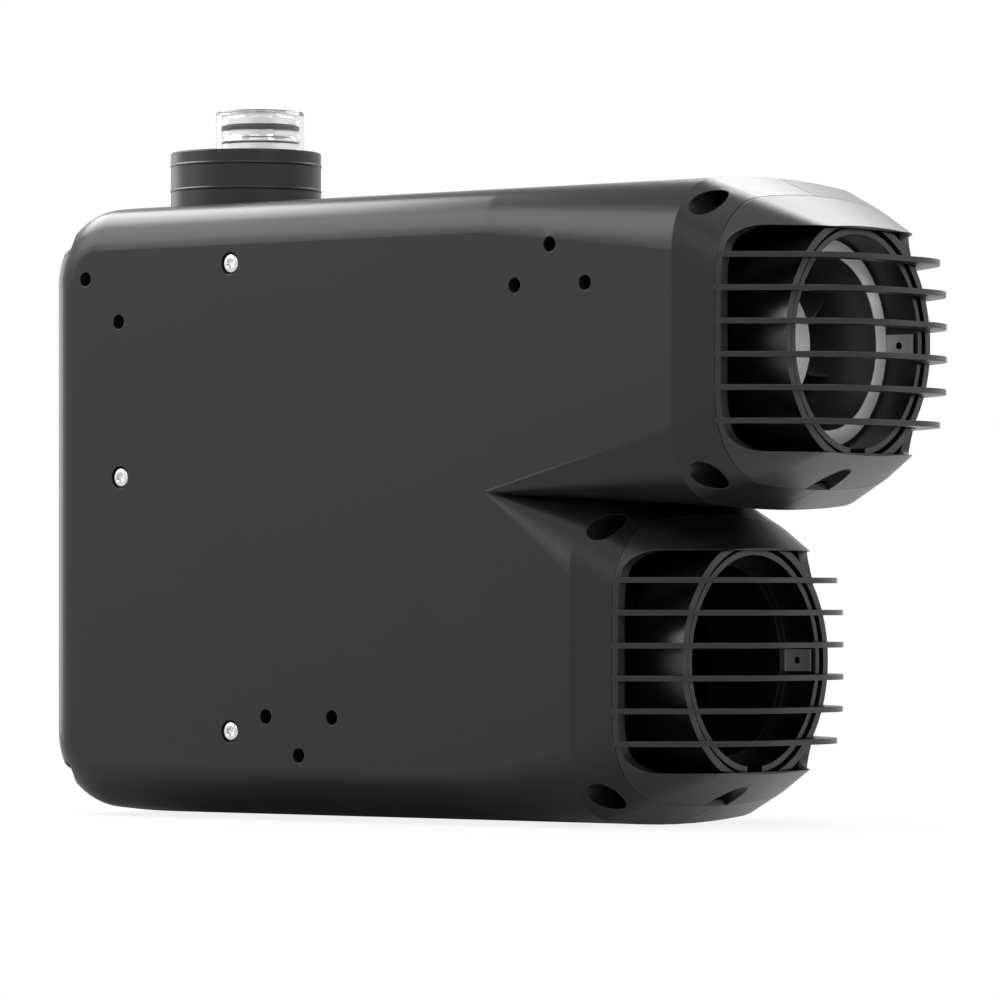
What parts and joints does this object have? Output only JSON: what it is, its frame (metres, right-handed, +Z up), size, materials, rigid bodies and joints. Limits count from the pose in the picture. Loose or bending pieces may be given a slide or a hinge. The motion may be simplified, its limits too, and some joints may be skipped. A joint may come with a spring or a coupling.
{
  "type": "caravan gas heater",
  "caption": "Slim blown-air gas heater for a caravan: dark casing in two half shells, air heads with finned grilles at one end, and a combustion-air collar with exhaust spigot on top.",
  "frame": {"origin": "under the middle of the casing, on the surface it stands on", "axes": "+X towards the air outlets, -Y the side plate with the bright screws, +Z up towards the exhaust"},
  "size_m": [0.4568, 0.165, 0.3416],
  "materials": {
    "casing_plastic": "fine satin grain, dark grey",
    "grille_plastic": "fine satin grain, dark grey",
    "zinc_screw": "blackened zinc",
    "bright_screw": "bright zinc",
    "duct_plastic": "black moulding",
    "spring_sheet": "bright spring sheet",
    "collar_plastic": "black moulding",
    "exhaust_tube": "bright tube",
    "seal_rubber": "smooth rubber",
    "clear_cap": "clear",
    "fan_shroud_plastic": "light grey moulding",
    "fan_plastic": "grey moulding",
    "motor_steel": "zinc-plated can",
    "sheet_steel": "galvanised sheet",
    "cast_aluminium": "as cast",
    "blower_plastic": "black moulding",
    "gasket_fibre": "pressed fibre",
    "copper_pipe": "drawn copper",
    "brass": "turned brass",
    "coil_wrap": "coil tape",
    "ceramic": "glazed ceramic",
    "inlet_plastic": "black moulding",
    "board_laminate": "green lacquer",
    "post_plastic": "natural nylon"
  },
  "bodies": {
    "casing": {"air_divider": "sheet_steel", "air_temperature_sensor": "inlet_plastic", "blower_bracket": "sheet_steel", "blower_cover": "blower_plastic", "blower_housing": "cast_aluminium", "board_components": "blower_plastic", "board_posts": "post_plastic", "bulkhead": "sheet_steel", "burner": "sheet_steel", "burner_screws": "zinc_screw", "circulation_fan_motor": "motor_steel", "combustion_air_collar": "collar_plastic", "combustion_motor": "motor_steel", "control_board": "board_laminate", "corner_screws": "zinc_screw", "electrical_inlet": "inlet_plastic", "exhaust_clamp": "sheet_steel", "exhaust_elbow": "exhaust_tube", "exhaust_o_ring": "seal_rubber", "exhaust_spigot": "exhaust_tube", "fan_shroud": "fan_shroud_plastic", "far_shell": "casing_plastic", "gas_inlet_pipe": "copper_pipe", "gas_jet_pipe": "copper_pipe", "gas_union_nut": "brass", "gas_valve": "cast_aluminium", "gas_valve_coils": "coil_wrap", "heat_exchanger": "cast_aluminium", "heat_exchanger_gasket": "gasket_fibre", "ignition_electrode": "ceramic", "lower_duct_clip": "spring_sheet", "lower_duct_housing": "duct_plastic", "lower_duct_socket": "duct_plastic", "mixing_chamber": "cast_aluminium", "near_shell": "casing_plastic", "overheat_switch": "inlet_plastic", "rivet_nuts": "bright_screw", "side_screws": "bright_screw", "upper_duct_clip": "spring_sheet", "upper_duct_housing": "duct_plastic", "upper_duct_socket": "duct_plastic"},
    "fan_rotor": {"circulation_fan": "fan_plastic"},
    "blower_rotor": {"combustion_impeller": "blower_plastic"},
    "upper_grille_body": {"upper_grille": "grille_plastic", "upper_grille_screw": "zinc_screw"},
    "lower_grille_body": {"lower_grille": "grille_plastic", "lower_grille_screw": "zinc_screw"},
    "cap": {"spigot_cap": "clear_cap"}
  },
  "joints": [
    {"name": "fan_spin", "type": "hinge", "parent": "casing", "child": "fan_rotor", "pos_m": [0.1528, 0, 0.22035], "axis": [1, 0, 0], "continuous": true},
    {"name": "blower_spin", "type": "hinge", "parent": "casing", "child": "blower_rotor", "pos_m": [-0.1704, 0, 0.096], "axis": [0, 1, 0], "continuous": true},
    {"name": "upper_grille_slide", "type": "slide", "parent": "casing", "child": "upper_grille_body", "axis": [1, 0, 0], "range_m": [0, 0.05]},
    {"name": "lower_grille_slide", "type": "slide", "parent": "casing", "child": "lower_grille_body", "axis": [1, 0, 0], "range_m": [0, 0.05]},
    {"name": "cap_slide", "type": "slide", "parent": "casing", "child": "cap", "axis": [0, 0, 1], "range_m": [0, 0.06]}
  ]
}
